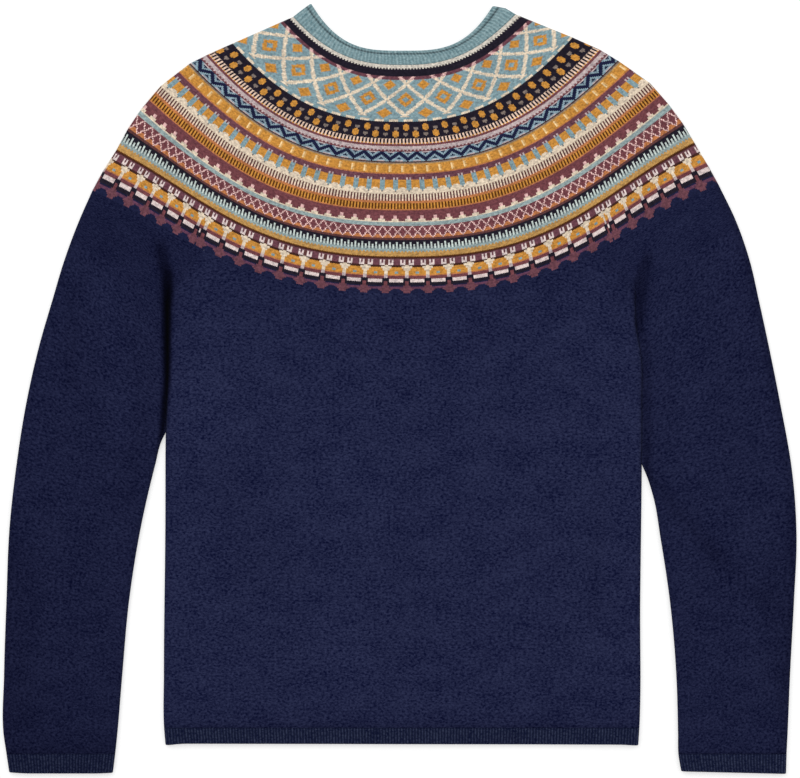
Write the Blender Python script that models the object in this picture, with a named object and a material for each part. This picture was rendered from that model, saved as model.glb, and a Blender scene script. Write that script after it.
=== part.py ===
# A knitted sweater with a round patterned yoke, laid flat with its front up.
# X is across the sweater, Y runs up towards the neck and Z up off the surface it lies on.
# All sizes here are millimetres. They become metres when the meshes are made.
import bmesh
import bpy
import numpy as np

METRES = 0.001
WELD = 0.000001

# The cloth.
WALL = 2.0
SEAM_GAP = 0.34
FOLD_REACH = 6.0
FOLD_ANGLES = (22.0, 45.0, 68.0)
REST_HEIGHT = 6.6

# The ribbed bands.
RIB_PITCH = 3.04
RIB_RISE = 0.3
COLLAR_RIBS = 70
COLLAR_BEAD = 0.35
COLLAR_GROOVE = 0.45

# How many strips of faces each part has.
YOKE_SLEEVE_STRIPS = 6
YOKE_FRONT_STRIPS = 22
SLANT_STRIPS = 3
BODY_ROWS = 11
SLEEVE_ROWS = 17
PLAIN_STRIPS = 26
CUFF_PLAIN_STRIPS = 8

# Where the slanted seam between a sleeve and the front leaves the yoke, and where it ends.
SLANT_TOP_X = {"left": -187.0, "right": 190.0}
UNDERARM = {"left": (-221.6, 84.8), "right": (224.4, 92.4)}

# Rings round the neck, from the neckband's free edge to the yoke's last row. A ring dips to
# centre_y in the middle and rises to a fold at each side. Between, its fall from the fold
# follows a power of the distance from the middle, and lift adds a swell over the shoulder.
CENTRE_X = 2.8
RING_COLUMNS = (
    "centre_y", "left_x", "left_y", "right_x", "right_y",
    "left_power", "left_lift", "right_power", "right_lift",
)
RINGS = (
    (321.8, -84.6, 365.5, 90.3, 363.6, 3.30, 0.00, 3.30, 0.00),
    (308.0, -101.7, 354.1, 110.2, 356.5, 2.60, 0.00, 2.50, 0.02),
    (293.8, -114.0, 348.7, 126.4, 349.8, 2.50, 0.01, 2.40, 0.03),
    (253.9, -159.6, 328.6, 164.4, 334.4, 2.60, 0.01, 2.35, 0.01),
    (233.0, -182.4, 318.5, 190.0, 322.9, 2.55, 0.01, 2.35, 0.00),
    (215.9, -200.0, 309.7, 207.6, 312.3, 2.50, 0.02, 2.30, 0.01),
    (185.0, -228.0, 288.1, 237.5, 291.4, 2.45, 0.03, 2.25, 0.03),
    (159.2, -246.6, 265.8, 255.1, 271.5, 2.45, 0.03, 2.30, 0.04),
    (143.0, -258.9, 247.5, 268.9, 252.9, 2.40, 0.06, 2.35, 0.08),
    (125.4, -269.8, 227.3, 280.3, 233.9, 2.35, 0.09, 2.40, 0.11),
    (105.0, -283.1, 206.4, 293.1, 212.4, 2.35, 0.10, 2.40, 0.13),
    (91.0, -292.6, 188.8, 303.1, 194.3, 2.35, 0.10, 2.40, 0.13),
)
NECK_EDGE_Y = 321.8
COLLAR_SEAM_Y = 308.0
YOKE_SEAM_Y = 91.0
YOKE_ROWS_Y = (308.0, 293.8, 273.0, 253.9, 233.0, 210.0, 185.0, 159.2, 137.0, 113.0, 91.0)
COLLAR_ROWS = ((0.0, 0.0), (1.6, 1.0), (3.4, -1.0), (5.0, 0.0))

# The folded edges of the sleeves: y, then x of the outer edge.
SLEEVE_OUTER = {
    "left": (
        (188.8, -292.6), (160.8, -305.0), (122.8, -319.2), (84.8, -330.6), (42.0, -343.0),
        (-15.0, -355.8), (-72.0, -364.8), (-129.0, -371.2), (-200.2, -374.3), (-271.5, -376.6),
        (-328.5, -377.0), (-346.5, -374.3), (-365.0, -371.5),
    ),
    "right": (
        (194.3, 303.1), (160.8, 319.2), (122.8, 332.5), (84.8, 341.3), (42.0, 350.6),
        (-15.0, 362.0), (-73.9, 372.4), (-100.5, 375.3), (-143.2, 377.2), (-200.2, 374.8),
        (-271.5, 371.0), (-328.5, 368.6), (-346.5, 367.7), (-364.3, 367.2),
    ),
}
# The same for the inner edges, which lie beside the body before they part from it.
SLEEVE_INNER = {
    "left": (
        (84.8, -222.2), (42.0, -222.6), (-15.0, -223.0), (-42.5, -223.8), (-72.0, -232.8),
        (-129.0, -246.0), (-200.2, -257.5), (-271.5, -264.1), (-328.5, -268.9), (-346.5, -270.8),
        (-365.0, -273.1),
    ),
    "right": (
        (92.4, 225.0), (53.0, 226.6), (-15.0, 230.0), (-73.9, 231.2), (-100.5, 240.4),
        (-143.2, 248.0), (-200.2, 256.5), (-271.5, 262.7), (-328.5, 264.4), (-346.5, 264.7),
        (-364.3, 267.6),
    ),
}
CUFF_SEAM_Y = -346.5
CUFF_END_Y = {"left": -365.0, "right": -364.3}

# The folded sides of the body: y, then x.
BODY_SIDE = {
    "left": (
        (84.8, -221.6), (-42.0, -222.5), (-129.0, -223.2), (-271.0, -224.6), (-322.0, -224.4),
        (-338.4, -223.0),
    ),
    "right": (
        (92.4, 224.4), (53.0, 225.6), (-15.0, 228.8), (-74.0, 229.4), (-200.0, 228.5),
        (-328.0, 227.3), (-338.4, 226.6),
    ),
}
HEM_SEAM_Y = -321.8
HEM_END_Y = {"left": -337.0, "right": -338.4}

# Soft troughs in the upper cloth: each starts at full depth and fades out towards its end.
TROUGH_COLUMNS = ("start_x", "start_y", "end_x", "end_y", "half_width", "depth")
TROUGHS = (
    (-222.0, 84.8, -231.0, 136.0, 8.0, 2.1),
    (226.5, 92.4, 234.5, 140.0, 9.0, 2.1),
    (-238.0, 62.0, -334.0, -46.0, 17.0, 0.55),
    (246.0, 58.0, 344.0, -62.0, 19.0, 0.5),
    (-205.0, 52.0, -118.0, -64.0, 26.0, 0.5),
    (205.0, 66.0, 132.0, -38.0, 24.0, 0.45),
    (-60.0, -322.0, -84.0, -196.0, 30.0, 0.4),
    (118.0, -322.0, 140.0, -178.0, 34.0, 0.45),
)
# Broad waves: height, then how many millimetres one wave takes in x and in y, and its start.
WAVE_COLUMNS = ("rise", "length_x", "length_y", "start")
WAVES = (
    (0.22, 410.0, 620.0, 0.4),
    (0.16, 240.0, -380.0, 2.1),
)

COLOURS = {
    "navy": (0.015, 0.019, 0.062, 1.0),
    "pattern": (0.300, 0.150, 0.080, 1.0),
    "blue": (0.190, 0.320, 0.350, 1.0),
}


def lookup(table, value):
    # Straight-line reading of a table of pairs, whichever way its first column runs.
    pairs = np.array(sorted(table))
    return np.interp(value, pairs[:, 0], pairs[:, 1])


def ring_row(centre_y):
    # The sizes of the ring whose lowest point is at centre_y, read between the table's rows.
    table = np.array(RINGS)[::-1]
    values = [np.interp(centre_y, table[:, 0], table[:, k]) for k in range(len(RING_COLUMNS))]
    return dict(zip(RING_COLUMNS, values))


def ring_line(centre_y, steps=400):
    # Plan points of a ring's front half, from its left fold to its right fold.
    row = ring_row(centre_y)
    along = np.linspace(-1.0, 1.0, 2 * steps + 1)
    away = np.abs(along)
    left = along < 0.0
    power = np.where(left, row["left_power"], row["right_power"])
    lift = np.where(left, row["left_lift"], row["right_lift"])
    fold_x = np.where(left, row["left_x"], row["right_x"])
    fold_y = np.where(left, row["left_y"], row["right_y"])
    share = away**power + lift * np.sin(np.pi * away**3)
    x = CENTRE_X + (fold_x - CENTRE_X) * away
    y = centre_y + (fold_y - centre_y) * share
    return np.stack([x, y], axis=1)


def lengths_along(line):
    steps = np.hypot(*np.diff(line, axis=0).T)
    return np.concatenate([[0.0], np.cumsum(steps)])


def at_lengths(line, lengths):
    total = lengths_along(line)
    return np.stack([np.interp(lengths, total, line[:, k]) for k in range(2)], axis=-1)


def top_height(x, y):
    # Height of the upper cloth: a rest height, broad waves, and troughs with round floors.
    height = np.full(np.shape(x), REST_HEIGHT)
    for rise, length_x, length_y, start in WAVES:
        height = height + rise * np.sin(2.0 * np.pi * (x / length_x + y / length_y) + start)
    for start_x, start_y, end_x, end_y, half_width, depth in TROUGHS:
        run = np.hypot(end_x - start_x, end_y - start_y)
        dir_x = (end_x - start_x) / run
        dir_y = (end_y - start_y) / run
        along = (x - start_x) * dir_x + (y - start_y) * dir_y
        across = (y - start_y) * dir_x - (x - start_x) * dir_y
        beyond = np.minimum(along, 0.0)
        fade = np.clip(1.0 - along / run, 0.0, 1.0)
        reach = np.hypot(across, beyond) / half_width
        height = height - depth * fade**1.5 * np.exp(-(reach**2))
    return height


def layer_points(line, shares, inward, upper, start_reach=FOLD_REACH):
    # Points of one layer of cloth along a plan line, with a fold rounding over at each end.
    # inward is 0 on the outer face and the wall's thickness on the inner face. With a
    # start_reach of 0 the layer starts at a cut edge, and its fold columns lie on that edge.
    total = lengths_along(line)[-1]
    angles = np.radians((0.0,) + FOLD_ANGLES)
    fold = inward + (FOLD_REACH - inward) * (1.0 - np.cos(angles))
    level = np.full(len(shares), np.pi / 2.0)
    flat = start_reach + np.asarray(shares) * (total - FOLD_REACH - start_reach)
    is_cut = start_reach == 0.0
    start = fold * 0.0 if is_cut else fold
    start_turn = np.full(len(angles), np.pi / 2.0) if is_cut else angles
    lengths = np.concatenate([start, flat, total - fold[::-1]])
    turn = np.concatenate([start_turn, level, angles[::-1]])
    plan = at_lengths(line, lengths)
    middle = top_height(plan[:, 0], plan[:, 1]) / 2.0
    sign = 1.0 if upper else -1.0
    z = middle + sign * (middle - inward) * np.sin(turn)
    return np.column_stack([plan, z])


def tube_ring(line, upper_shares, lower_shares, inward):
    # One closed ring of a folded tube: over the top from left to right, and back underneath.
    upper = layer_points(line, upper_shares, inward, True)
    lower = layer_points(line, lower_shares, inward, False)
    return np.concatenate([upper, lower[-2:0:-1]])


def slit_ring(line, shares, inward, start_reach):
    # The same for a sleeve, which starts and ends at its inner edge, where it may be slit.
    upper = layer_points(line, shares, inward, True, start_reach)
    lower = layer_points(line, shares, inward, False, start_reach)
    return np.concatenate([upper, lower[-2::-1]])


def spread(count):
    # Even columns over the flat part of a line, with its two ends.
    return np.linspace(0.0, 1.0, count + 1)


def make_wall(name, outer, inner, closed, colour, collection, slit_rows=None):
    # A closed body between an outer and an inner grid of points (rows, columns, xyz).
    rows, columns = outer.shape[:2]
    count = rows * columns
    index = np.arange(count).reshape(rows, columns)
    if closed:
        index = np.column_stack([index, index[:, :1]])
    corners = [index[:-1, :-1], index[:-1, 1:], index[1:, 1:], index[1:, :-1]]
    sheet = np.stack(corners, axis=-1).reshape(-1, 4)
    faces = [sheet, sheet[:, ::-1] + count]
    edges = [index[0, ::-1], index[-1]]
    if not closed:
        end = rows if slit_rows is None else slit_rows + 1
        edges += [index[:end, 0], index[:end, -1][::-1]]
    for edge in edges:
        near, far = edge[:-1], edge[1:]
        faces.append(np.stack([near, far, far + count, near + count], axis=-1))
    faces = np.concatenate(faces)
    points = np.concatenate([outer.reshape(-1, 3), inner.reshape(-1, 3)]) * METRES
    mesh = bpy.data.meshes.new(name)
    mesh.from_pydata(points.tolist(), [], faces.tolist())
    work = bmesh.new()
    work.from_mesh(mesh)
    bmesh.ops.remove_doubles(work, verts=work.verts[:], dist=WELD)
    if work.calc_volume(signed=True) < 0.0:
        bmesh.ops.reverse_faces(work, faces=work.faces[:])
    work.to_mesh(mesh)
    work.free()
    mesh.update()
    thing = bpy.data.objects.new(name, mesh)
    material = bpy.data.materials.new(name + "_cloth")
    material.use_nodes = True
    shader = material.node_tree.nodes["Principled BSDF"]
    shader.inputs["Base Color"].default_value = COLOURS[colour]
    shader.inputs["Roughness"].default_value = 0.9
    material.diffuse_color = COLOURS[colour]
    mesh.materials.append(material)
    collection.objects.link(thing)
    return thing


def yoke_columns():
    # Columns of the yoke as shares of its flat width, taken on its last ring, so that the
    # slanted seams, the front and the sleeves meet it at shared columns.
    line = ring_line(YOKE_SEAM_Y)
    total = lengths_along(line)
    flat = total[-1] - 2.0 * FOLD_REACH
    left = np.interp(SLANT_TOP_X["left"], line[:, 0], total)
    right = np.interp(SLANT_TOP_X["right"], line[:, 0], total)
    stops = [
        np.linspace(FOLD_REACH, left, YOKE_SLEEVE_STRIPS + 1),
        np.linspace(left, right, YOKE_FRONT_STRIPS + 1)[1:],
        np.linspace(right, total[-1] - FOLD_REACH, YOKE_SLEEVE_STRIPS + 1)[1:],
    ]
    return (np.concatenate(stops) - FOLD_REACH) / flat


def make_yoke(collection):
    shares = yoke_columns()
    rows_y = np.array(YOKE_ROWS_Y)
    rows_y[0] -= SEAM_GAP / 2.0
    outer, inner = [], []
    for centre_y in rows_y:
        line = ring_line(centre_y)
        if centre_y == rows_y[-1]:
            line = line + np.array([0.0, SEAM_GAP / 2.0])
        outer.append(tube_ring(line, shares, shares, 0.0))
        inner.append(tube_ring(line, shares, shares, WALL))
    return make_wall("yoke", np.array(outer), np.array(inner), True, "pattern", collection)


def rib_wave(ring, columns, rise):
    # Lifts every other column of a ring's upper layer and lowers those between.
    first = 1 + len(FOLD_ANGLES)
    ribs = np.arange(columns)
    ring[first:first + columns, 2] += rise * np.where(ribs % 2 == 0, -1.0, 1.0)
    return ring


def make_neckband(collection):
    outer, inner = [], []
    end_y = COLLAR_SEAM_Y + SEAM_GAP / 2.0
    rows = [(NECK_EDGE_Y - depth, swell) for depth, swell in COLLAR_ROWS] + [(end_y, 0.0)]
    for centre_y, swell in rows:
        line = ring_line(centre_y)
        upper = spread(2 * COLLAR_RIBS)
        lower = spread(PLAIN_STRIPS)
        ring = tube_ring(line, upper, lower, 0.0)
        is_rib = swell == 0.0 and centre_y < NECK_EDGE_Y
        ring = rib_wave(ring, len(upper), RIB_RISE if is_rib else 0.0)
        first = 1 + len(FOLD_ANGLES)
        raised = COLLAR_BEAD * swell if swell > 0.0 else COLLAR_GROOVE * swell
        ring[first:first + len(upper), 2] += raised
        outer.append(ring)
        inner.append(tube_ring(line, upper, lower, WALL))
    return make_wall("neckband", np.array(outer), np.array(inner), True, "blue", collection)


def band_ring(left, right, upper_strips, lower_strips, rise):
    # A ribbed ring between two points: its outer points with ribs and its plain inner points.
    line = np.array([left, right])
    upper = spread(upper_strips)
    lower = spread(lower_strips)
    ring = rib_wave(tube_ring(line, upper, lower, 0.0), len(upper), rise)
    return ring, tube_ring(line, upper, lower, WALL)


def make_hem_band(collection):
    width = BODY_SIDE["right"][-1][1] - BODY_SIDE["left"][-1][1]
    strips = 2 * int(width / RIB_PITCH)
    outer, inner = [], []
    start_y = HEM_SEAM_Y - SEAM_GAP / 2.0
    for left_y, right_y in ((start_y, start_y), (HEM_END_Y["left"], HEM_END_Y["right"])):
        left = (lookup(BODY_SIDE["left"], left_y), left_y)
        right = (lookup(BODY_SIDE["right"], right_y), right_y)
        rings = band_ring(left, right, strips, PLAIN_STRIPS, RIB_RISE)
        outer.append(rings[0])
        inner.append(rings[1])
    return make_wall("hem_band", np.array(outer), np.array(inner), True, "navy", collection)


def sleeve_ends(side, y_outer, y_inner):
    # The two folded edges of a sleeve at one row, from left to right.
    outer = np.array([lookup(SLEEVE_OUTER[side], y_outer), y_outer])
    inner = np.array([lookup(SLEEVE_INNER[side], y_inner), y_inner])
    return (outer, inner) if side == "left" else (inner, outer)


def make_cuff(side, collection):
    end_y = CUFF_END_Y[side]
    left, right = sleeve_ends(side, end_y, end_y)
    strips = 2 * int((right[0] - left[0]) / RIB_PITCH)
    outer, inner = [], []
    for y in (CUFF_SEAM_Y - SEAM_GAP / 2.0, end_y):
        left, right = sleeve_ends(side, y, y)
        rings = band_ring(left, right, strips, CUFF_PLAIN_STRIPS, RIB_RISE)
        outer.append(rings[0])
        inner.append(rings[1])
    grid = np.array(outer), np.array(inner)
    return make_wall("cuff_" + side, grid[0], grid[1], True, "navy", collection)


def slant_points(side):
    # The slanted seam from the yoke down to the underarm, with its ends.
    line = ring_line(YOKE_SEAM_Y)
    top_x = SLANT_TOP_X[side]
    top = np.array([top_x, np.interp(top_x, line[:, 0], line[:, 1])])
    share = np.linspace(0.0, 1.0, SLANT_STRIPS + 1)[:, None]
    return top + (np.array(UNDERARM[side]) - top) * share


def slant_shift(side, towards_front):
    # Half the seam's gap, square to the slanted seam.
    points = slant_points(side)
    run = points[-1] - points[0]
    square = np.array([-run[1], run[0]]) / np.hypot(*run)
    if (square[0] > 0.0) != (side == "left"):
        square = -square
    return square * (SEAM_GAP / 2.0) * (1.0 if towards_front else -1.0)


def yoke_seam_points():
    # Points where the yoke's columns end on its last ring, from left to right.
    line = ring_line(YOKE_SEAM_Y)
    total = lengths_along(line)[-1]
    return at_lengths(line, FOLD_REACH + yoke_columns() * (total - 2.0 * FOLD_REACH))


def sleeve_top(side):
    # The sleeve's top line along the yoke, from the slanted seam to the outer fold.
    seam = yoke_seam_points()
    line = ring_line(YOKE_SEAM_Y)
    if side == "left":
        shared = np.concatenate([line[:1], seam[:YOKE_SLEEVE_STRIPS + 1]])[::-1]
    else:
        shared = np.concatenate([seam[-YOKE_SLEEVE_STRIPS - 1:], line[-1:]])
    shared[0] += slant_shift(side, False)
    return shared + np.array([0.0, -SEAM_GAP / 2.0])


def sleeve_line(side, row, top, slant):
    # The plan line of one row of a sleeve, from its inner to its outer edge. It runs straight
    # between them and keeps less and less of the yoke's curve further down.
    y_end = CUFF_SEAM_Y + SEAM_GAP / 2.0
    y_break = top[-1, 1] + slant[-1, 1] - slant[0, 1]
    if row == 0:
        return top
    if row <= SLANT_STRIPS:
        y_outer = top[-1, 1] + (y_break - top[-1, 1]) * row / SLANT_STRIPS
        inner = slant[row]
    else:
        share = (row - SLANT_STRIPS) / (SLEEVE_ROWS - SLANT_STRIPS)
        y_outer = y_break + (y_end - y_break) * share
        y_inner = slant[-1, 1] + (y_end - slant[-1, 1]) * share
        inner = np.array([lookup(SLEEVE_INNER[side], y_inner), y_inner])
    outer = np.array([lookup(SLEEVE_OUTER[side], y_outer), y_outer])
    along = lengths_along(top)
    along = (along / along[-1])[:, None]
    bend = top - (top[0] + (top[-1] - top[0]) * along)
    return inner + (outer - inner) * along + bend * (1.0 - row / SLEEVE_ROWS) ** 3


def make_sleeve(side, collection):
    top = sleeve_top(side)
    slant = slant_points(side) + slant_shift(side, False)
    lengths = lengths_along(top)
    shares = lengths[:-1] / lengths[-2]
    outer, inner = [], []
    for row in range(SLEEVE_ROWS + 1):
        line = sleeve_line(side, row, top, slant)
        reach = FOLD_REACH if row >= SLANT_STRIPS else 0.0
        outer.append(slit_ring(line, shares, 0.0, reach))
        inner.append(slit_ring(line, shares, WALL, reach))
    grid = np.array(outer), np.array(inner)
    name = "sleeve_" + side
    return make_wall(name, grid[0], grid[1], False, "navy", collection, SLANT_STRIPS)


def panel_top():
    # The body's top line from one underarm to the other, without the stretch in the folds.
    seam = yoke_seam_points()[YOKE_SLEEVE_STRIPS:-YOKE_SLEEVE_STRIPS]
    down = np.array([0.0, -SEAM_GAP / 2.0])
    left = slant_points("left")[::-1] + slant_shift("left", True)
    right = slant_points("right") + slant_shift("right", True)
    middle = seam + down
    middle[0] = left[-1] + down
    middle[-1] = right[0] + down
    return np.concatenate([left[:-1], middle, right[1:]])


def panel_columns(top, side_x, inward):
    # Plan x of every column of a panel at one row, and the angle of each round its fold.
    angles = np.radians((0.0,) + FOLD_ANGLES)
    moved = inward + (FOLD_REACH - inward) * (1.0 - np.cos(angles))
    left_x, right_x = side_x
    inset = top[:, 0].copy()
    inset[0] += FOLD_REACH
    inset[-1] -= FOLD_REACH
    share = (inset - inset[0]) / (inset[-1] - inset[0])
    flat = left_x + FOLD_REACH + share * (right_x - left_x - 2.0 * FOLD_REACH)
    x = np.concatenate([left_x + moved, flat, right_x - moved[::-1]])
    turn = np.concatenate([angles, np.full(len(flat), np.pi / 2.0), angles[::-1]])
    return x, turn


def panel_grid(top, inward, upper):
    # A grid of points for one face of the front (upper) or the back (lower).
    rows = []
    start = [(UNDERARM[side][0] + slant_shift(side, True)[0]) for side in ("left", "right")]
    order = np.argsort(top[:, 0])
    for share in np.linspace(0.0, 1.0, BODY_ROWS + 1):
        x_top, turn = panel_columns(top, start, inward)
        y_top = np.interp(x_top, top[order, 0], top[order, 1])
        y = y_top + (HEM_SEAM_Y + SEAM_GAP / 2.0 - y_top) * share
        sides = [lookup(BODY_SIDE["left"], y[0]), lookup(BODY_SIDE["right"], y[-1])]
        if share == 0.0:
            sides = start
        x, turn = panel_columns(top, sides, inward)
        middle = top_height(x, y) / 2.0
        sign = 1.0 if upper else -1.0
        z = middle + sign * (middle - inward) * np.sin(turn)
        z = z + np.where(turn == 0.0, sign * SEAM_GAP / 2.0, 0.0)
        rows.append(np.column_stack([x, y, z]))
    return np.array(rows)


def make_panel(name, upper, collection):
    top = panel_top()
    outer = panel_grid(top, 0.0, upper)
    inner = panel_grid(top, WALL, upper)
    return make_wall(name, outer, inner, False, "navy", collection)


def build():
    for thing in list(bpy.data.objects):
        bpy.data.objects.remove(thing, do_unlink=True)
    collection = bpy.data.collections.new("fair_isle_sweater")
    bpy.context.scene.collection.children.link(collection)
    make_neckband(collection)
    make_yoke(collection)
    make_panel("front", True, collection)
    make_panel("back", False, collection)
    make_hem_band(collection)
    for side in ("left", "right"):
        make_sleeve(side, collection)
        make_cuff(side, collection)


build()
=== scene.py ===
import bpy
import numpy as np
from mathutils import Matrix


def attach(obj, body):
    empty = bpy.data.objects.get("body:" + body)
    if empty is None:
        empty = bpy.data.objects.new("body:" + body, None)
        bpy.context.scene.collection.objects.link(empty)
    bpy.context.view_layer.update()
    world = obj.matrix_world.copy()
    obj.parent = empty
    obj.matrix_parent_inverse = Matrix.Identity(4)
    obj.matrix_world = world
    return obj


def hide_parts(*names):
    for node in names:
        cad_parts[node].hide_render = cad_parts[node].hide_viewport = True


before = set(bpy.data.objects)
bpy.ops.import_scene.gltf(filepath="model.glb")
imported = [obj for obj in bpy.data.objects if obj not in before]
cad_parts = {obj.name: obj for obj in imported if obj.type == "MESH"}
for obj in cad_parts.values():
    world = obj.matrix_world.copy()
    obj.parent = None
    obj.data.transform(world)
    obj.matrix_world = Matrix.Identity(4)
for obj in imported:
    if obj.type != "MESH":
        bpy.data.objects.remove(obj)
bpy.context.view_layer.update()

# Shapes are in millimetres up to makePiece, which turns them into metres.
millimetre = 0.001
print("frame loaded:", len(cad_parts), "nodes")

# The cloth that every piece shares.
cloth = {
    "stitchWidth": 1.57,
    "rowHeight": 1.07,
    "wall": 2.0,
    "foldReach": 6.0,      # how far in from an edge the cloth has finished rounding over
    "foldPoints": 91,      # points at which that rounding is worked out
    "restHeight": 6.6,
    # rise, millimetres for one wave in x and in y, start
    "waves": ((0.22, 410.0, 620.0, 0.4), (0.16, 240.0, -380.0, 2.1)),
    # start x, y, end x, y, half width, depth; a minus depth is a ridge
    "troughs": (
        (-222.0, 84.8, -231.0, 136.0, 8.0, 2.1),
        (226.5, 92.4, 234.5, 140.0, 9.0, 2.1),
        (-221.5, 98.0, -224.0, -90.0, 6.5, 2.2),
        (226.5, 98.0, 232.5, -110.0, 6.5, 1.6),
        (-238.0, 62.0, -334.0, -46.0, 17.0, 0.55),
        (246.0, 58.0, 344.0, -62.0, 19.0, 0.5),
        (-205.0, 52.0, -118.0, -64.0, 26.0, 0.5),
        (205.0, 66.0, 132.0, -38.0, 24.0, 0.45),
        (-60.0, -322.0, -84.0, -196.0, 30.0, 0.4),
        (118.0, -322.0, 140.0, -178.0, 34.0, 0.45),
    ),
    # the same, on the side that lies on the table, where the cloth only lifts a little
    "backLifts": (
        (-218.0, 70.0, -140.0, -30.0, 14.0, 0.5),
        (216.0, 60.0, 150.0, -60.0, 16.0, 0.45),
        (-20.0, 60.0, 30.0, -120.0, 20.0, 0.3),
        (-90.0, -300.0, -70.0, -170.0, 18.0, 0.35),
        (-250.0, 40.0, -330.0, -80.0, 12.0, 0.4),
        (255.0, 30.0, 335.0, -90.0, 12.0, 0.4),
    ),
}

# Rings round the neck: lowest y in the middle, then x and y of the left and right folds, and
# for each side the power of its rise and the swell over the shoulder.
rings = np.array((
    (321.8, -84.6, 367.0, 88.2, 364.6, 3.30, 0.00, 3.30, 0.00),
    (315.0, -93.4, 360.6, 100.3, 362.4, 2.95, 0.00, 2.90, 0.00),
    (308.0, -101.7, 354.1, 110.2, 356.5, 2.60, 0.00, 2.50, 0.02),
    (293.8, -114.0, 348.7, 126.4, 349.8, 2.50, 0.01, 2.40, 0.03),
    (253.9, -159.6, 328.6, 164.4, 334.4, 2.60, 0.01, 2.35, 0.01),
    (233.0, -182.4, 318.5, 190.0, 322.9, 2.55, 0.01, 2.35, 0.00),
    (215.9, -200.0, 309.7, 207.6, 312.3, 2.50, 0.02, 2.30, 0.01),
    (185.0, -228.0, 288.1, 237.5, 291.4, 2.45, 0.03, 2.25, 0.03),
    (159.2, -246.6, 265.8, 255.1, 271.5, 2.45, 0.03, 2.30, 0.04),
    (143.0, -258.9, 247.5, 268.9, 252.9, 2.40, 0.06, 2.35, 0.08),
    (125.4, -269.8, 227.3, 280.3, 233.9, 2.35, 0.09, 2.40, 0.11),
    (105.0, -283.1, 206.4, 293.1, 212.4, 2.35, 0.10, 2.40, 0.13),
    (91.0, -292.6, 188.8, 303.1, 194.3, 2.35, 0.10, 2.40, 0.13),
))[::-1]
ringMiddle = 2.8
yokeSeamY = 91.0
slantTopX = {"left": -187.0, "right": 190.0}
underarm = {"left": (-221.6, 84.8), "right": (224.4, 92.4)}
swingY = {"left": -40.6, "right": -71.0}     # where a sleeve swings away from the body
outward = {"left": -1.0, "right": 1.0}
contactEase = (12.0, 25.0)     # over what y a sleeve comes to lie on the body and leaves it

# How much painted shade darkens the navy cloth, and painted light lightens it, as shares of its
# brightness on a screen.
paintedShading = {
    "screenPower": 1.7,        # a share of brightness on a screen, to this power, is its light
    # painted shade down in the fold between sleeve and body: y, middle x, reach to its left and
    # right, darkness
    "underarm": (
        ((146.0, -228.0, 6.0, 6.0, 0.00), (136.0, -227.0, 7.0, 6.0, 0.30),
         (121.0, -224.2, 7.5, 6.0, 0.42), (109.5, -220.9, 7.0, 6.0, 0.68),
         (94.0, -220.9, 6.2, 5.4, 0.85), (79.0, -220.9, 5.6, 4.4, 0.92),
         (35.0, -220.9, 5.2, 3.6, 0.90), (11.0, -221.0, 4.2, 3.4, 0.87),
         (-10.0, -223.0, 4.2, 3.4, 0.78), (-40.6, -225.4, 3.6, 2.4, 0.76),
         (-52.0, -228.0, 3.0, 2.4, 0.25), (-76.0, -234.0, 3.0, 2.4, 0.00)),
        ((134.0, 234.7, 5.0, 5.0, 0.00), (126.6, 235.1, 4.5, 5.5, 0.28),
         (113.3, 229.5, 5.0, 10.0, 0.30), (100.0, 225.6, 3.8, 11.5, 0.36),
         (86.7, 224.8, 2.0, 11.0, 0.42), (73.4, 225.6, 2.2, 8.5, 0.44),
         (60.0, 224.4, 1.4, 7.0, 0.46), (50.6, 227.6, 2.0, 8.0, 0.20),
         (37.3, 232.0, 3.0, 7.5, 0.18), (-48.0, 233.4, 3.2, 7.0, 0.24),
         (-72.9, 233.5, 2.5, 4.0, 0.38), (-96.0, 240.0, 2.5, 4.0, 0.00)),
    ),
    # soft places of painted shade: start x, y, end x, y, half width, darkness; a minus is painted
    # light, lighter
    "soft": (
        (-170.0, -85.0, -135.0, -165.0, 30.0, 0.05), (-195.0, -5.0, -190.0, -40.0, 26.0, -0.05),
        (-50.0, -85.0, -30.0, -95.0, 28.0, -0.05), (-60.0, -225.0, -50.0, -265.0, 30.0, -0.05),
        (188.0, -90.0, 184.0, -220.0, 11.0, 0.06), (-280.0, 95.0, -262.0, -40.0, 15.0, -0.08),
        (-311.0, 94.0, -313.0, 5.0, 9.0, 0.07), (-246.0, -30.0, -262.0, -110.0, 13.0, 0.05),
        (-365.0, -165.0, -362.0, -300.0, 26.0, 0.10), (-295.0, 165.0, -240.0, 135.0, 34.0, 0.08),
        (238.0, -86.0, 300.0, -158.0, 8.0, 0.14),
        (300.0, -158.0, 350.0, -205.0, 12.0, 0.08), (358.0, -165.0, 366.0, -290.0, 20.0, 0.07),
        (270.0, 60.0, 282.0, -60.0, 16.0, -0.05),
    ),
    # painted shade: how much darker each sleeve is painted than the body
    "sleeve": {"left": 0.19, "right": 0.15},
    # painted shade where the cloth rounds over the outer fold: darkness and reach
    "sleeveEdge": {"left": (0.05, 6.0), "right": (0.14, 9.0)},
    # painted shade under the yoke: in the middle, how much more at the armholes, their x, reach
    "underYoke": (0.06, 0.13, 200.0, 34.0),
    # painted shade above the ribs: darkness and reach of the broad shade, then of the dark line
    # painted along the seam
    "overHem": (0.10, 18.0, 0.17, 2.4),
    # the same painted shade above each cuff
    "overCuff": {"left": (0.15, 34.0, 0.07, 4.0), "right": (0.04, 20.0, 0.22, 1.7)},
    # painted shade over each whole cuff
    "cuff": {"left": 0.10, "right": 0.0},
}


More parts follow.
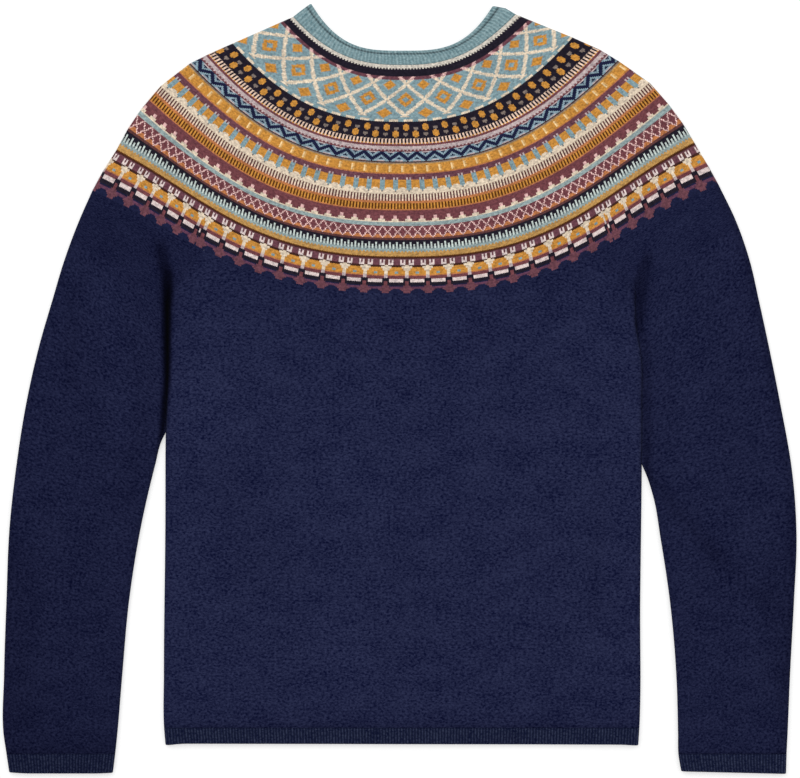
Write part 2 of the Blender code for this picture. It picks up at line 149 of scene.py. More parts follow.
def ringLines(lowest, steps=300):
    # One plan line a ring, from its left fold to its right fold. With q the share of the way
    # from the middle to the fold, x goes straight and y rises by q^power + lift sin(pi q^3).
    lowest = np.atleast_1d(np.asarray(lowest, float))
    read = [np.interp(lowest, rings[:, 0], rings[:, k])[:, None] for k in range(1, 9)]
    leftX, leftY, rightX, rightY, leftPower, leftLift, rightPower, rightLift = read
    along = np.linspace(-1.0, 1.0, 2 * steps + 1)[None, :]
    q = np.abs(along)
    isLeft = along < 0.0
    rise = q ** np.where(isLeft, leftPower, rightPower)
    rise = rise + np.where(isLeft, leftLift, rightLift) * np.sin(np.pi * q**3)
    x = ringMiddle + (np.where(isLeft, leftX, rightX) - ringMiddle) * q
    y = lowest[:, None] + (np.where(isLeft, leftY, rightY) - lowest[:, None]) * rise
    return np.stack([x, y], axis=-1)


def runOf(lines):
    # Distance along each line, from 0 at its first point.
    steps = np.hypot(np.diff(lines[..., 0]), np.diff(lines[..., 1]))
    return np.concatenate([np.zeros((len(lines), 1)), np.cumsum(steps, axis=1)], axis=1)


def pointsAt(lines, distance):
    # Points at these distances along each line. One straight-line reading serves all the
    # lines, because each line's distances are moved past those of the one before.
    run = runOf(lines)
    spare = 10.0
    apart = np.arange(len(lines))[:, None] * (run.max() + spare)
    wanted = np.clip(distance, 0.0, run[:, -1:]) + apart
    read = [np.interp(wanted, (run + apart).ravel(), lines[..., k].ravel()) for k in (0, 1)]
    return np.stack(read, axis=-1)


def curveAt(y, table):
    # x of a smooth edge at each y: between two rows of the table a cubic whose slope at each
    # row is the one through that row's neighbours.
    rowY, rowX = table[:, 0], table[:, 1]
    slope = np.gradient(rowX, rowY)
    k = np.clip(np.searchsorted(rowY, y) - 1, 0, len(rowY) - 2)
    width = rowY[k + 1] - rowY[k]
    t = np.clip((y - rowY[k]) / width, 0.0, 1.0)
    start = (1.0 + 2.0 * t) * rowX[k] + t * width * slope[k]
    end = (3.0 - 2.0 * t) * rowX[k + 1] - (1.0 - t) * width * slope[k + 1]
    return start * (1.0 - t) ** 2 + end * t**2


def trackHeight(x, y, tracks):
    # Depth of soft troughs: each is exp(-(distance from its track / half width)^2), times the
    # share of the track that is left to the power 1.5, so that it fades out at the end.
    depth = np.zeros(np.shape(x))
    for startX, startY, endX, endY, halfWidth, full in tracks:
        run = np.hypot(endX - startX, endY - startY)
        dirX, dirY = (endX - startX) / run, (endY - startY) / run
        along = (x - startX) * dirX + (y - startY) * dirY
        across = (y - startY) * dirX - (x - startX) * dirY
        fade = np.clip(1.0 - along / run, 0.0, 1.0) ** 1.5
        reach = np.hypot(across, np.minimum(along, 0.0)) / halfWidth
        depth = depth + full * fade * np.exp(-(reach**2))
    return depth


def topHeight(x, y):
    # Rest height, plus broad sine waves, less the troughs.
    height = cloth["restHeight"] - trackHeight(x, y, cloth["troughs"])
    for rise, lengthX, lengthY, start in cloth["waves"]:
        height = height + rise * np.sin(2.0 * np.pi * (x / lengthX + y / lengthY) + start)
    return height


def paintedSeamShade(y, seamY, amounts):
    # Painted shade above a ribbed band: a broad shade exp(-d / reach) and a dark line
    # exp(-(d / reach)^2), with d the distance from the seam.
    broad, reach, line, lineReach = amounts
    d = np.abs(y - seamY)
    return broad * np.exp(-d / reach) + line * np.exp(-((d / lineReach) ** 2))


def paintedLightKept(x, y, paintedDarkness=0.0):
    # Light kept under the painted shade and painted light: the product of 1 - darkness over the
    # underarm folds, the soft places and the piece's own darkness, as linear light. A fold fades
    # by exp(-|distance / reach|^3), a soft place by exp(-(distance from its line / half width)^2).
    kept = 1.0 - paintedDarkness + np.zeros(np.shape(x))
    for table in paintedShading["underarm"]:
        table = np.array(table)[::-1]
        middle, left, right, dark = (np.interp(y, table[:, 0], table[:, k]) for k in range(1, 5))
        reach = np.where(x < middle, left, right)
        kept = kept * (1.0 - dark * np.exp(-(np.abs((x - middle) / reach) ** 3)))
    for startX, startY, endX, endY, halfWidth, dark in paintedShading["soft"]:
        runX, runY = endX - startX, endY - startY
        share = ((x - startX) * runX + (y - startY) * runY) / (runX**2 + runY**2)
        share = np.clip(share, 0.0, 1.0)
        away = np.hypot(x - startX - share * runX, y - startY - share * runY) / halfWidth
        kept = kept * (1.0 - dark * np.exp(-(away**2)))
    return kept ** paintedShading["screenPower"]


def contactShare(side, y):
    # 1 where a sleeve lies against the body, eased in below the underarm and out below the
    # place where it swings away.
    easeIn = np.clip((underarm[side][1] - y) / contactEase[0], 0.0, 1.0)
    return easeIn * np.clip(1.0 + (y - swingY[side]) / contactEase[1], 0.0, 1.0)


def foldCurve():
    # A fold is a quarter of an ellipse, foldReach wide and half the rest height high: the angle
    # turned at each of its points, and their distances along the cloth.
    angle = np.linspace(0.0, np.pi / 2.0, cloth["foldPoints"])
    out = cloth["foldReach"] * (1.0 - np.cos(angle))
    up = cloth["restHeight"] / 2.0 * np.sin(angle)
    return angle, np.concatenate([[0.0], np.cumsum(np.hypot(np.diff(out), np.diff(up)))])


foldAngle, foldRun = foldCurve()
foldLength = foldRun[-1]


def foldTurn(near):
    # How far round its fold the cloth has turned at a distance along the cloth from the fold.
    return np.interp(near, foldRun, foldAngle)


def acrossCloth(width, shares, inward=0.0):
    # Places at shares of the way along the cloth between two folds that are width apart in
    # plan: distance along the cloth from the first fold and from the nearer one, turn, distance
    # from the nearer fold in plan, inward + (foldReach - inward)(1 - cos turn) and then
    # straight on, and whether the nearer fold is the first.
    length = width - 2.0 * cloth["foldReach"] + 2.0 * foldLength
    along = shares * length
    near = np.minimum(along, length - along)
    turn = foldTurn(near)
    fromFold = inward + (cloth["foldReach"] - inward) * (1.0 - np.cos(turn))
    fromFold = fromFold + np.maximum(near - foldLength, 0.0)
    return along, near, turn, fromFold, along < length / 2.0


def layerPoints(lines, shares, inward=0.0, upper=True, cutStart=0.0, startNose=0.5):
    # Points of one layer of cloth along plan lines, with a fold at each end. The height goes by
    # sin turn from the fold's nose to the layer's own level, and the lifts of the side below
    # fade by its 4th power. cutStart, from 0 to 1 for each line, opens the fold at its start
    # into a flat cut edge, and startNose is how high that fold's nose is, as a share of the
    # cloth's whole height.
    run = runOf(lines)[:, -1:]
    _, near, turn, fromFold, isStart = acrossCloth(run, shares, inward)
    cut = np.where(isStart, np.asarray(cutStart), 0.0)
    stretch = cloth["foldReach"] / foldLength
    flat = np.where(near < foldLength, near * stretch, fromFold)
    fromFold = fromFold + (flat - fromFold) * cut
    level = np.sin(turn) + (1.0 - np.sin(turn)) * cut
    plan = pointsAt(lines, np.where(isStart, fromFold, run - fromFold))
    top = topHeight(plan[..., 0], plan[..., 1])
    nose = top * np.where(isStart, startNose, 0.5)
    z = nose + ((top - inward if upper else inward + 0.0 * top) - nose) * level
    if not upper:
        lift = trackHeight(plan[..., 0], plan[..., 1], cloth["backLifts"])
        z = z + lift * level**4
    return np.concatenate([plan, z[..., None]], axis=-1)


def quadCorners(grid, flip):
    # What a grid holds at the four corners of each of its cells, cell by cell.
    corners = np.stack([grid[:-1, :-1], grid[1:, :-1], grid[1:, 1:], grid[:-1, 1:]], axis=2)
    corners = corners.reshape(-1, 4, *grid.shape[2:])
    return corners[:, ::-1] if flip else corners


def gridFaces(rows, columns, closed=False, flip=False, first=0):
    # Quads of a grid of points, row by row; closed joins its last row and column to its first.
    index = np.arange(rows * columns).reshape(rows, columns) + first
    return quadCorners(np.pad(index, ((0, 1), (0, 1)), mode="wrap") if closed else index, flip)


def cornerCoords(u, v, flip=False):
    # Stitch coordinates of the corners of every quad, in the same order as gridFaces.
    return quadCorners(np.stack(np.broadcast_arrays(u, v), axis=-1), flip)


def makePiece(name, points, faces, corners, material, colours=None, kept=1.0):
    # Points times one millimetre become vertices in metres. corners is the stitch map, colours
    # holds one colour a face for each named attribute, and kept is the light each point keeps
    # under the painted shade.
    mesh = bpy.data.meshes.new(name)
    mesh.vertices.add(len(points))
    mesh.vertices.foreach_set("co", (points * millimetre).astype(np.float32).ravel())
    mesh.loops.add(4 * len(faces))
    mesh.loops.foreach_set("vertex_index", faces.astype(np.int32).ravel())
    mesh.polygons.add(len(faces))
    mesh.polygons.foreach_set("loop_start", np.arange(0, 4 * len(faces), 4, dtype=np.int32))
    mesh.update(calc_edges=True)
    stitchMap = mesh.uv_layers.new(name="stitch")
    stitchMap.uv.foreach_set("vector", corners.astype(np.float32).ravel())
    for key, values in (colours or {}).items():
        layer = mesh.attributes.new(name=key, type="FLOAT_COLOR", domain="FACE")
        layer.data.foreach_set("color", values.astype(np.float32).ravel())
    # painted shade and light: the share of light each point keeps, multiplied into the navy colour
    keptLayer = mesh.attributes.new(name="paintedLightKept", type="FLOAT", domain="POINT")
    keptLayer.data.foreach_set("value", np.broadcast_to(kept, len(points)).astype(np.float32))
    mesh.shade_smooth()
    mesh.validate()
    mesh.materials.append(material)
    piece = bpy.data.objects.new(name, mesh)
    bpy.context.scene.collection.objects.link(piece)
    return piece


def facesOutward(points, faces):
    # Whether a closed shape's faces look out: six times its signed volume is not below zero.
    a, b, c, d = (points[faces[:, k]] for k in range(4))
    volume = np.sum(a * np.cross(b, c)) + np.sum(a * np.cross(c, d))
    return volume >= 0.0


def linear(srgb):
    # A screen colour from 0 to 255 as the linear values that a shader takes, by the sRGB curve:
    # share / 12.92 in the darkest part, else ((share + 0.055) / 1.055)^2.4.
    share = np.asarray(srgb, float) / 255.0
    value = np.where(share <= 0.04045, share / 12.92, ((share + 0.055) / 1.055) ** 2.4)
    return np.append(value, 1.0)


class Wire:
    # One output of a node. Arithmetic on wires adds Math nodes to the same tree, and node adds
    # any other: its type, its settings, the values or wires of its sockets, and its output.
    def __init__(self, tree, made=None, output=0):
        self.tree = tree
        self.made = made
        self.socket = made.outputs[output] if made else None

    def node(self, kind, settings=None, sockets=None, output=0):
        made = self.tree.nodes.new(kind)
        for key, value in (settings or {}).items():
            setattr(made, key, value)
        for key, value in (sockets or {}).items():
            if isinstance(value, Wire):
                self.tree.links.new(value.socket, made.inputs[key])
            else:
                made.inputs[key].default_value = value
        return Wire(self.tree, made, output)

    def output(self, key):
        return Wire(self.tree, self.made, key)

    def math(self, operation, *values):
        return self.node("ShaderNodeMath", {"operation": operation}, dict(enumerate(values)))

    def clamped(self, low, high):
        return self.math("MAXIMUM", self.math("MINIMUM", self, high), low)

    def mix(self, share, first, second, blend="MIX"):
        # Sockets 6 and 7 and output 2 are the Mix node's colours.
        sockets = {0: share, 6: first, 7: second}
        settings = {"data_type": "RGBA", "blend_type": blend}
        return self.node("ShaderNodeMix", settings, sockets, output=2)

    def __add__(self, other):
        return self.math("ADD", self, other)

    __radd__ = __add__

    def __sub__(self, other):
        return self.math("SUBTRACT", self, other)

    def __rsub__(self, other):
        return self.math("SUBTRACT", other, self)

    def __mul__(self, other):
        return self.math("MULTIPLY", self, other)

    __rmul__ = __mul__

    def __pow__(self, other):
        return self.math("POWER", self, other)

    def __lt__(self, other):
        return self.math("LESS_THAN", self, other)

    def __abs__(self):
        return self.math("ABSOLUTE", self)


knitLook = {
    "lean": 0.55,              # how far a stitch's arms rise, in rows
    "legLow": 0.45,            # height of a leg where two stitches meet
    "groove": 0.34,            # painted shade: how dark the lines between the legs of the stitches are
    # scale, detail and roughness of the noise in the fibres, and of the broad one
    "fibre": (0.54, 4.0, 0.62),
    "cloud": (0.045, 3.0, 0.55),
    "fleck": (0.5, 2.9, 0.7),  # strength of each stitch's own shade, the fibres, the cloud
    "heather": 1.0,            # strength of all three
    # the dark and light fibres of a patterned yarn, as shares of its colour
    "darkFibre": (0.66, 0.66, 0.68, 1.0),
    "lightFibre": (1.34, 1.34, 1.32, 1.0),
    "ribShade": 0.2,           # painted shade: how dark the grooves between ribs are
    "ribStitch": 0.5,          # height of the stitches on a rib
    "shadeColour": (0.006, 0.007, 0.014, 1.0),     # linear, what the painted shade in lines and grooves darkens to
    # the deepest painted shade
    "mostShade": 0.9,
    "relief": 0.35,
    "reliefDepth": 0.0004,     # metres
    "roughness": 0.92,
    "blueKept": 0.78,          # power of the painted light kept for blue: below 1, painted shade stays bluer
    "sheen": 0.015,
    "sheenRoughness": 0.6,
    "specular": 0.02,
}


def knitMaterial(name, dark=None, light=None, ribbed=False, lineAt=None, patterned=False,
                 look=None):
    # Stitches: across is 0 in the middle of a stitch and 1 at its sides, and a stitch ends
    # where its row + lean across is a whole number. Each leg is sin(pi across) high. The yarn
    # is mixed from its dark and light fibres by a chance for each stitch and two noises. Ribs
    # are cosines, and a line at a row fades evenly to both sides. The lines between the legs,
    # the grooves between ribs and the line at a row are painted shade, and a navy piece's colour
    # is multiplied by the painted light it keeps.
    look = {**knitLook, **(look or {})}
    material = bpy.data.materials.new(name)
    material.use_nodes = True
    tree = material.node_tree
    shader = tree.nodes["Principled BSDF"]
    start = Wire(tree)
    stitch = start.node("ShaderNodeUVMap", {"uv_map": "stitch"})
    parts = start.node("ShaderNodeSeparateXYZ", None, {0: stitch})
    u, v = parts.output("X"), parts.output("Y")
    across = abs(u.math("FRACT", u) - 0.5) * 2.0
    lowered = v + across * look["lean"]
    along = v.math("FRACT", lowered)
    leg = across.math("SINE", across * np.pi)
    bulge = along.math("SINE", along * np.pi)
    height = leg * (look["legLow"] + (1.0 - look["legLow"]) * bulge)
    cell = start.node("ShaderNodeCombineXYZ", None,
                      {0: u.math("FLOOR", u), 1: v.math("FLOOR", lowered)})
    chance = start.node("ShaderNodeTexWhiteNoise", {"noise_dimensions": "2D"}, {"Vector": cell})
    fleck = (chance - 0.5) * look["fleck"][0]
    for key, strength in zip(("fibre", "cloud"), look["fleck"][1:]):
        noise = {"Vector": stitch, **dict(zip(("Scale", "Detail", "Roughness"), look[key]))}
        fleck = fleck + (start.node("ShaderNodeTexNoise", None, noise) - 0.5) * strength
    if patterned:
        own = start.node("ShaderNodeAttribute", {"attribute_name": "yarn"})
        below = start.node("ShaderNodeAttribute", {"attribute_name": "yarnBelow"})
        isOwn = (v.math("FRACT", v) + across * look["lean"]) < 1.0
        yarn = start.mix(isOwn, below, own)
        darkYarn = start.mix(1.0, yarn, look["darkFibre"], "MULTIPLY")
        lightYarn = start.mix(1.0, yarn, look["lightFibre"], "MULTIPLY")
    else:
        darkYarn, lightYarn = tuple(linear(dark)), tuple(linear(light))
    share = (fleck * look["heather"] + 0.5).clamped(0.0, 1.0)
    colour = start.mix(share, darkYarn, lightYarn)
    # painted shade: the lines between the legs, the grooves between ribs and a line at a row
    shade = (1.0 - height) * look["groove"]
    if ribbed:
        rib = u.math("COSINE", u * np.pi) * 0.5 + 0.5
        shade = shade + (1.0 - rib) * look["ribShade"]
        height = height * look["ribStitch"] + rib
    if lineAt:
        place, width, strength = lineAt
        lined = abs(v - place) * (1.0 / width)
        shade = shade + (1.0 - lined.math("MINIMUM", lined, 1.0)) * strength
    shade = shade.math("MINIMUM", shade, look["mostShade"])
    colour = start.mix(shade, colour, look["shadeColour"])
    # painted shade and painted light of the navy pieces: the colour times the light each point
    # keeps, bluer in the shade
    if not patterned:
        kept = start.node("ShaderNodeAttribute", {"attribute_name": "paintedLightKept"}, output="Fac")
        channels = {0: kept, 1: kept, 2: kept ** look["blueKept"]}
        paintedShadeMultiplier = start.node("ShaderNodeCombineColor", None, channels)
        colour = start.mix(1.0, colour, paintedShadeMultiplier, "MULTIPLY")
    bump = start.node("ShaderNodeBump", None, {
        "Strength": look["relief"], "Distance": look["reliefDepth"], "Height": height})
    tree.links.new(colour.socket, shader.inputs["Base Color"])
    tree.links.new(bump.socket, shader.inputs["Normal"])
    shader.inputs["Roughness"].default_value = look["roughness"]
    shader.inputs["Specular IOR Level"].default_value = look["specular"]
    shader.inputs["Sheen Weight"].default_value = look["sheen"]
    shader.inputs["Sheen Roughness"].default_value = look["sheenRoughness"]
    return material


# Dark and light fibres as screen colours; a line of painted shade is its row, its width in rows,
# its strength.
navyKnit = knitMaterial("navyKnit", (4, 9, 45), (46, 51, 83))
# the rib's line is painted shade along its seam
navyRib = knitMaterial("navyRib", (6, 11, 44), (58, 65, 90), ribbed=True, lineAt=(-0.3, 1.6, 0.3),
                       look={"ribShade": 0.8, "shadeColour": (0.0035, 0.006, 0.024, 1.0)})
yokeKnit = knitMaterial("yokeKnit", patterned=True)
# the collar's line is painted shade in the groove below its bead
blueRib = knitMaterial("blueRib", (100, 135, 143), (170, 197, 201), ribbed=True,
                       lineAt=(9.9, 1.1, 0.52), look={"heather": 0.72})
print("materials made")

# The patterned yoke. Yarns are screen colours.
yarns = {
    "n": (28, 32, 62),  # navy heather
    "d": (34, 29, 40),  # near-black
    "m": (118, 68, 73),  # plum
    "v": (100, 62, 84),  # dull purple
    "r": (110, 68, 78),  # dark plum
    "z": (100, 62, 60),  # brown plum
    "k": (66, 38, 30),  # dark brown
    "s": (92, 50, 18),  # brown
    "o": (206, 144, 64),  # ochre
    "p": (192, 122, 76),  # orange brown
    "e": (192, 148, 86),  # faded ochre
    "u": (246, 212, 158),  # pale ochre
    "y": (222, 172, 104),  # light ochre
    "a": (236, 204, 182),  # pale peach
    "q": (228, 184, 180),  # pink
    "x": (246, 206, 200),  # pale pink
    "i": (228, 210, 206),  # pink cream
    "t": (134, 120, 112),  # tan grey
    "b": (134, 161, 168),  # duck-egg blue
    "h": (142, 166, 178),  # paler blue
    "g": (152, 170, 170),  # grey-green
    "w": (204, 216, 210),  # pale grey-green
    "j": (106, 116, 118),  # slate
    "c": (230, 212, 188),  # cream
    "f": (216, 208, 196),  # cooler cream
    "l": (196, 178, 178),  # lilac cream
}

# The highest band's plain trellis, in stitches and rows.
trellis = {
    "rows": 40,
    "columns": 24,
    "drop": 28,                # rows in which a line crosses the whole repeat
    "plumRows": 3,             # above row 0
    "crossRow": 3,             # where two lines cross
    "lineRows": 33,            # rows from row 0 that the lines cross
    "halfLine": 1.6,
    # rows of the middles, half width, half height
    "lozenge": ((17,), 5.6, 6.6),
    "hollow": ((17,), 2.4, 2.8),
    "smallLozenge": ((4, 29), 4.6, 4.4),
    "dash": (5, 8),            # cream stitches in each so many, in the last two rows
}


def trellisChart():
    # Cream where a column is within half a line of either of two slanting lines, and lozenges
    # where |column| / half width + |row| / half height is under 1.
    width = trellis["columns"]
    row = np.arange(trellis["rows"])[:, None] - trellis["plumRows"]
    column = np.arange(width)[None, :]

    def aside(middle):
        return np.abs((column - middle + width / 2) % width - width / 2)

    def inLozenge(key, middle=0):
        rows, halfWidth, halfHeight = trellis[key]
        away = np.min([np.abs(row - place) for place in rows], axis=0)
        return aside(middle) / halfWidth + away / halfHeight < 1.0

    lineAt = (row - trellis["crossRow"]) * (width / trellis["drop"])
    lines = np.minimum(aside(lineAt), aside(-lineAt)) < trellis["halfLine"]
    chart = np.full((trellis["rows"], width), "b")
    chart[(row < 0)[:, 0]] = "r"
    chart[inLozenge("smallLozenge", width / 2)] = "o"
    chart[inLozenge("lozenge")] = "o"
    chart[inLozenge("hollow")] = "b"
    chart[lines & (row < trellis["lineRows"])] = "c"
    chart[lines & (row < 0)] = "q"
    chart[-2:] = np.where(column[0] % trellis["dash"][1] < trellis["dash"][0], "c", "b")
    return ["".join(line) for line in chart]


# Lowest y at a band's top, columns over the front, first column's place in the chart, and the
# chart. The lowest band has three sections, whose ends are shares of the way across the front.
yokeBands = [
    {"top": 308.0, "columns": 170, "start": 0, "chart": ["f", "f", "f", "fd"]},
    {"top": 303.5, "columns": 176, "start": 0, "chart": ["d"] * 6},
    {"top": 296.7, "columns": 216, "start": 12, "chart": trellisChart()},
    {"top": 253.9, "columns": 275, "start": 7, "chart": [
        "d",
        "d",
        "ddooddddddddd",
        "doooodddddddd",
        "doooodddddddd",
        "doooodddtttdd",
        "doooodddtttdd",
        "ddoodddddtddd",
        "ddddddddooddd",
        "dddddddoooodd",
        "dtttdddoooodd",
        "dtttdddoooodd",
        "ddtddddoooodd",
        "ddddddddooddd",
        "d"]},
    {"top": 237.8, "columns": 250, "start": 0, "chart": [
        *["ad"] * 4, "ao", *["m"] * 2, *["l"] * 3, "lm", "m"]},
    {"top": 225.4, "columns": 324, "start": 10, "chart": [
        "nnhhlllllhhn",
        "nnnhhnnnhhnn",
        "nnnnhhnhhnnn",
        "hnnnnhhhnnnn",
        "hhnnnnhnnnnh",
        "nhhnnnnnnnhh",
        "nnhhnnnnnhhn",
        "hhhhhnnnhhhh",
        "lllhhhnhhhll",
        "k"]},
    {"top": 215.1, "columns": 324, "start": 3, "chart": [
        "t", "e", "o", *["ooouyooo"] * 6, "o", "p"]},
    {"top": 204.1, "columns": 324, "start": 5, "chart": ["r"] * 3 + ["lrlrrrrr"] * 2},
    {"top": 198.7, "columns": 324, "start": 5, "chart": [
        *["bbbooooo"] * 7, "bbboccco", "bbbccccc", "cbcccccc", "ctcccccc", "c", "c"]},
    {"top": 185.2, "columns": 360, "start": 0, "chart": ["cz"] * 4 + ["az"] * 2},
    {"top": 178.6, "columns": 360, "start": 0, "chart": ["p"] * 2 + ["os"] * 5 + ["p"]},
    {"top": 169.7, "columns": 352, "start": 2, "chart": [
        *["m"] * 5, *["mmmqqmmm"] * 3, *["mmccccmm"] * 2, "c"]},
    {"top": 158.4, "columns": 360, "start": 0, "chart": ["g"] * 4},
    {"top": 154.9, "columns": 488, "start": 7, "chart": [
        "xmmmmmmm",
        "mxmmmmmx",
        "mmxmmmxm",
        "mmxmmmxm",
        "mmmxmxmm",
        "mmmmxmmm",
        "mmmxmxmm",
        "mmxmmmxm",
        "mmxpppxm",
        "mxpppppx",
        "xppppppp",
        "z",
        "z"]},
    {"top": 141.5, "columns": 360, "start": 2, "chart": [
        *["d"] * 2, *["wddd"] * 2, *["wdwd"] * 2, *["wjwj"] * 2, *["g"] * 2, "ge", *["e"] * 4,
        "s"]},
    {"top": 124.8, "columns": 392, "sections": (76, 242, 74), "ends": (0.1755, 0.82),
     "start": (5, 0, 9), "chart": [
        "k",
        "r",
        *["rririzzirirr"] * 3,
        *["rriiizziiirr"] * 2,
        "kkkkkcckkkkk",
        "kkkcccccckkk",
        "oooccccccooo",
        *["ooooccccoooo"] * 2,
        "oooooccooooo",
        *["booooccoooob"] * 2,
        "oooooccooooo",
        "pppppllppppp",
        *["mmmmmllmmmmm"] * 2,
        "mmmmddddmmmm",
        *["iiiiddddiiii"] * 2,
        "iiiidmmdiiii",
        *["dddddmmddddd"] * 3,
        "nnnnrrrrnnnn",
        "vvvvrrrrvvvv",
        "vvvrrrrrrvvv",
        "nnrrrrrrrrnn",
        "nnnrrrrrrnnn",
        "nnnnrrrrnnnn",
        "nnnnrrrrnnnn"]},
]


def columnShares(band):
    # How far along the ring each column's edge is: even, or even within each of three sections.
    edges = np.arange(band["columns"] + 1)
    stops = [0, band["columns"]]
    places = [0.0, 1.0]
    if "sections" in band:
        stops = np.concatenate([[0], np.cumsum(band["sections"])])
        places = [0.0, *band["ends"], 1.0]
    return np.interp(edges, stops, places)[None, :]


def chartLetters(band, upper):
    # The chart's letter for every stitch; short rows repeat. The back's columns carry on round
    # the ring from the front's.
    columns = np.arange(band["columns"])
    start = band["start"]
    ring = columns if upper else 2 * band["columns"] - 1 - columns
    if "sections" in band:
        start = np.repeat(band["start"], band["sections"])
        first = columns < band["sections"][0]
        ring = np.where(first & (not upper), -1 - columns, ring)
    place = ring + start
    return np.array([np.array(list(row))[place % len(row)] for row in band["chart"]])


def letterColours(letters):
    # The linear colour of each letter's yarn, in one row a stitch.
    keys = sorted(yarns)
    table = np.array([linear(yarns[key]) for key in keys])
    return table[np.searchsorted(keys, letters)].reshape(-1, 4)


def makeYoke(name, upper):
    # Band by band, a grid with one face a stitch between rings of even spacing. Each stitch has
    # its own colour and that of the stitch below it, which is navy under the last band.
    points, faces, corners, own, below = [], [], [], [], []
    ends = [band["top"] for band in yokeBands[1:]] + [yokeSeamY]
    letters = [chartLetters(band, upper) for band in yokeBands]
    pointCount, rowCount = 0, 0
    for k, (band, end) in enumerate(zip(yokeBands, ends)):
        rows, columns = len(band["chart"]), band["columns"]
        lines = ringLines(np.linspace(band["top"], end, rows + 1))
        grid = layerPoints(lines, columnShares(band), upper=upper)
        points.append(grid.reshape(-1, 3))
        faces.append(gridFaces(rows + 1, columns + 1, flip=not upper, first=pointCount))
        across = np.arange(columns + 1)[None, :]
        down = (np.arange(rows + 1) + rowCount)[:, None]
        corners.append(cornerCoords(across, down, flip=not upper))
        pointCount += grid.shape[0] * grid.shape[1]
        rowCount += rows
        following = letters[k + 1][0] if k + 1 < len(letters) else np.array(["n"])
        nextRow = following[np.arange(columns) * len(following) // columns]
        own.append(letterColours(letters[k]))
        below.append(letterColours(np.vstack([letters[k][1:], nextRow[None, :]])))
    colours = {"yarn": np.concatenate(own), "yarnBelow": np.concatenate(below)}
    return makePiece(name, np.concatenate(points), np.concatenate(faces),
                     np.concatenate(corners), yokeKnit, colours)


yokeFront = makeYoke("yokeFront", True)
yokeBack = makeYoke("yokeBack", False)
print("yoke made:", len(yokeFront.data.polygons), "stitches in front")

bodyShape = {
    "seamY": -321.8,
    "left": np.array(((-338.4, -223.0), (-322.0, -224.4), (-271.0, -224.6), (-129.0, -223.2),
                      (-42.0, -222.9), (-12.0, -222.4), (14.0, -221.4), (84.8, -221.6))),
    "right": np.array(((-338.4, 226.6), (-328.0, 227.3), (-200.0, 228.5), (-74.0, 230.0),
                       (-15.0, 230.4), (34.0, 229.4), (52.0, 226.2), (68.0, 224.4),
                       (92.4, 224.4))),
    "columns": 200,
    "rows": 150,
    "noseDip": 0.1,      # how much the side folds lie under the sleeves, of the whole height
}


def slantTop(side):
    # Where the short seam down to the underarm leaves the yoke: the last ring's y at its x.
    line = ringLines(yokeSeamY)[0]
    x = slantTopX[side]
    return np.array([x, np.interp(x, line[:, 0], line[:, 1])])


def bodyTopY(x):
    # y of the body's top edge: the yoke's last ring, and a straight seam down to each underarm.
    line = ringLines(yokeSeamY)[0]
    inner = line[(line[:, 0] > slantTopX["left"]) & (line[:, 0] < slantTopX["right"])]
    ends = [underarm["left"], slantTop("left")], [slantTop("right"), underarm["right"]]
    path = np.concatenate([ends[0], inner, ends[1]])
    return np.interp(x, path[:, 0], path[:, 1])


def makeBody(name, upper):
    # Each column runs straight down from the top edge to the hem, its x a fixed share of the
    # way from the left fold to the right fold at every height. The painted shade under the yoke is
    # (inMiddle + atArmholes (|x| / armholeX)^3) exp(-distance / reach).
    down = np.linspace(0.0, 1.0, bodyShape["rows"] + 1)[:, None]
    shares = np.linspace(0.0, 1.0, bodyShape["columns"] + 1)[None, :]
    left, right = underarm["left"][0], underarm["right"][0]
    along, _, turn, fromFold, isLeft = acrossCloth(right - left, shares)
    topX = np.where(isLeft, left + fromFold, right - fromFold)
    y = bodyTopY(topX) + (bodyShape["seamY"] - bodyTopY(topX)) * down
    leftX, rightX = curveAt(y, bodyShape["left"]), curveAt(y, bodyShape["right"])
    x = leftX + (rightX - leftX) * (topX - left) / (right - left)
    top = topHeight(x, y)
    contact = np.where(isLeft, contactShare("left", y), contactShare("right", y))
    nose = top * (0.5 - bodyShape["noseDip"] * contact)
    z = nose + ((top if upper else 0.0 * top) - nose) * np.sin(turn)
    if not upper:
        z = z + trackHeight(x, y, cloth["backLifts"]) * np.sin(turn) ** 4
    points = np.stack(np.broadcast_arrays(x, y, z), axis=-1)
    faces = gridFaces(*points.shape[:2], flip=not upper)
    corners = cornerCoords(along / cloth["stitchWidth"], -y / cloth["rowHeight"], flip=not upper)
    # painted shade under the yoke and above the hem, on top of the painted folds and soft places
    inMiddle, atArmholes, armholeX, reach = paintedShading["underYoke"]
    paintedDarkness = inMiddle + atArmholes * np.clip(np.abs(x) / armholeX, 0.0, 1.0) ** 3
    paintedDarkness = paintedDarkness * np.exp(-(bodyTopY(topX) - y) / reach)
    paintedDarkness = paintedDarkness + paintedSeamShade(y, bodyShape["seamY"], paintedShading["overHem"])
    return makePiece(name, points.reshape(-1, 3), faces, corners, navyKnit,
                     kept=paintedLightKept(x, y, paintedDarkness).ravel())


bodyFront = makeBody("bodyFront", True)
bodyBack = makeBody("bodyBack", False)
print("body made")

